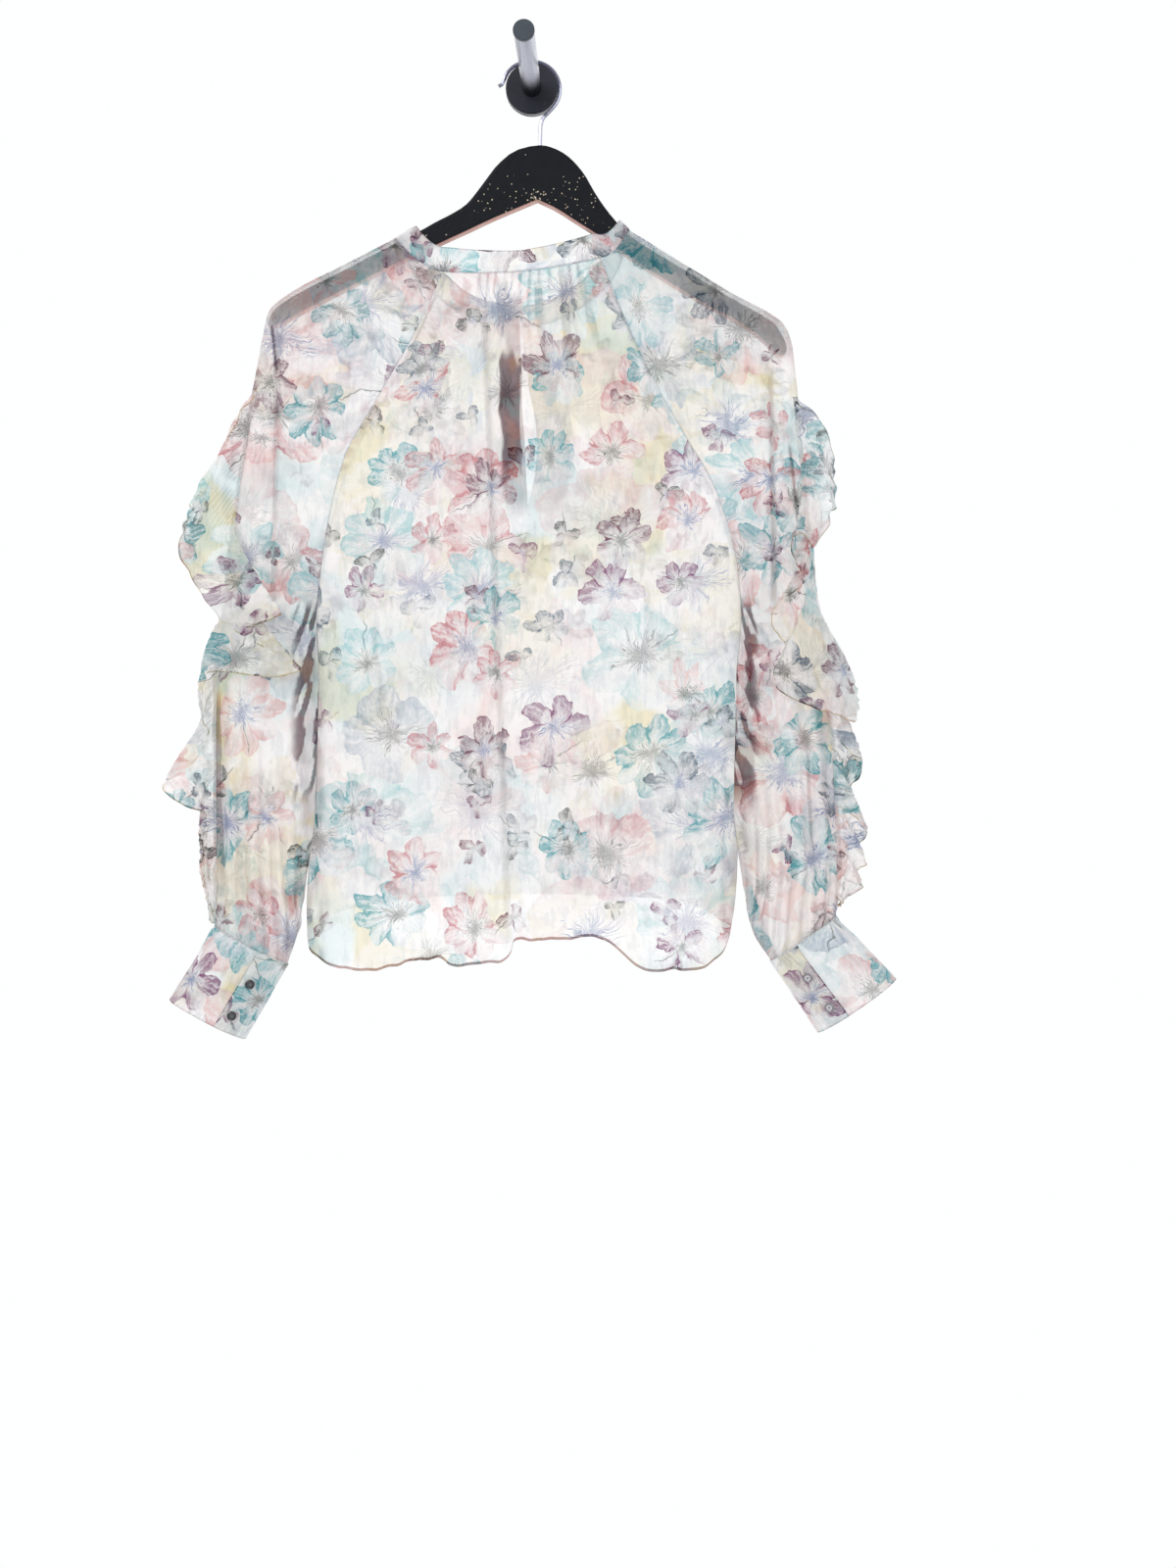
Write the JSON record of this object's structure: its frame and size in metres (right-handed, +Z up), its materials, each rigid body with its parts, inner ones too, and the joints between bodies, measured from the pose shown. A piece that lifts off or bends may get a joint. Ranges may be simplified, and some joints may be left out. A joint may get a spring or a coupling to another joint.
{
  "type": "blouse on a wall peg",
  "caption": "Sheer gathered blouse with raglan sleeves, ruffles and buttoned cuffs, hung back outward on a wooden hanger from a wall peg.",
  "frame": {"origin": "centre of the peg flange's back face, against the wall", "axes": "+X to the right as the blouse is seen, +Y into the wall, +Z up"},
  "size_m": [0.6114, 0.1471, 0.8339],
  "materials": {
    "cloth_back": "sheer crinkled floral chiffon",
    "cloth_front": "sheer crinkled floral chiffon",
    "cloth_sleeves": "sheer crinkled floral chiffon",
    "cloth_bands": "doubled floral chiffon",
    "cloth_ruffles": "sheer floral chiffon with a rolled edge",
    "buttons": "smoky pearl, glossy",
    "hanger_wood": "black paint on wood, chipped",
    "hook_wire": "plated wire",
    "peg_steel": "satin steel",
    "peg_black": "black, satin"
  },
  "bodies": {
    "root": {"back_panel": "cloth_back", "front_panel": "cloth_front", "sleeve_left": "cloth_sleeves", "sleeve_right": "cloth_sleeves", "neck_band": "cloth_bands", "cuff_left": "cloth_bands", "cuff_right": "cloth_bands", "ruffle_left": "cloth_ruffles", "ruffle_right": "cloth_ruffles", "button_left_1": "buttons", "button_left_2": "buttons", "button_right_1": "buttons", "button_right_2": "buttons", "hanger_body": "hanger_wood", "hanger_hook": "hook_wire", "peg_rod": "peg_steel", "peg_cap": "peg_black", "peg_flange": "peg_black"}
  },
  "joints": []
}
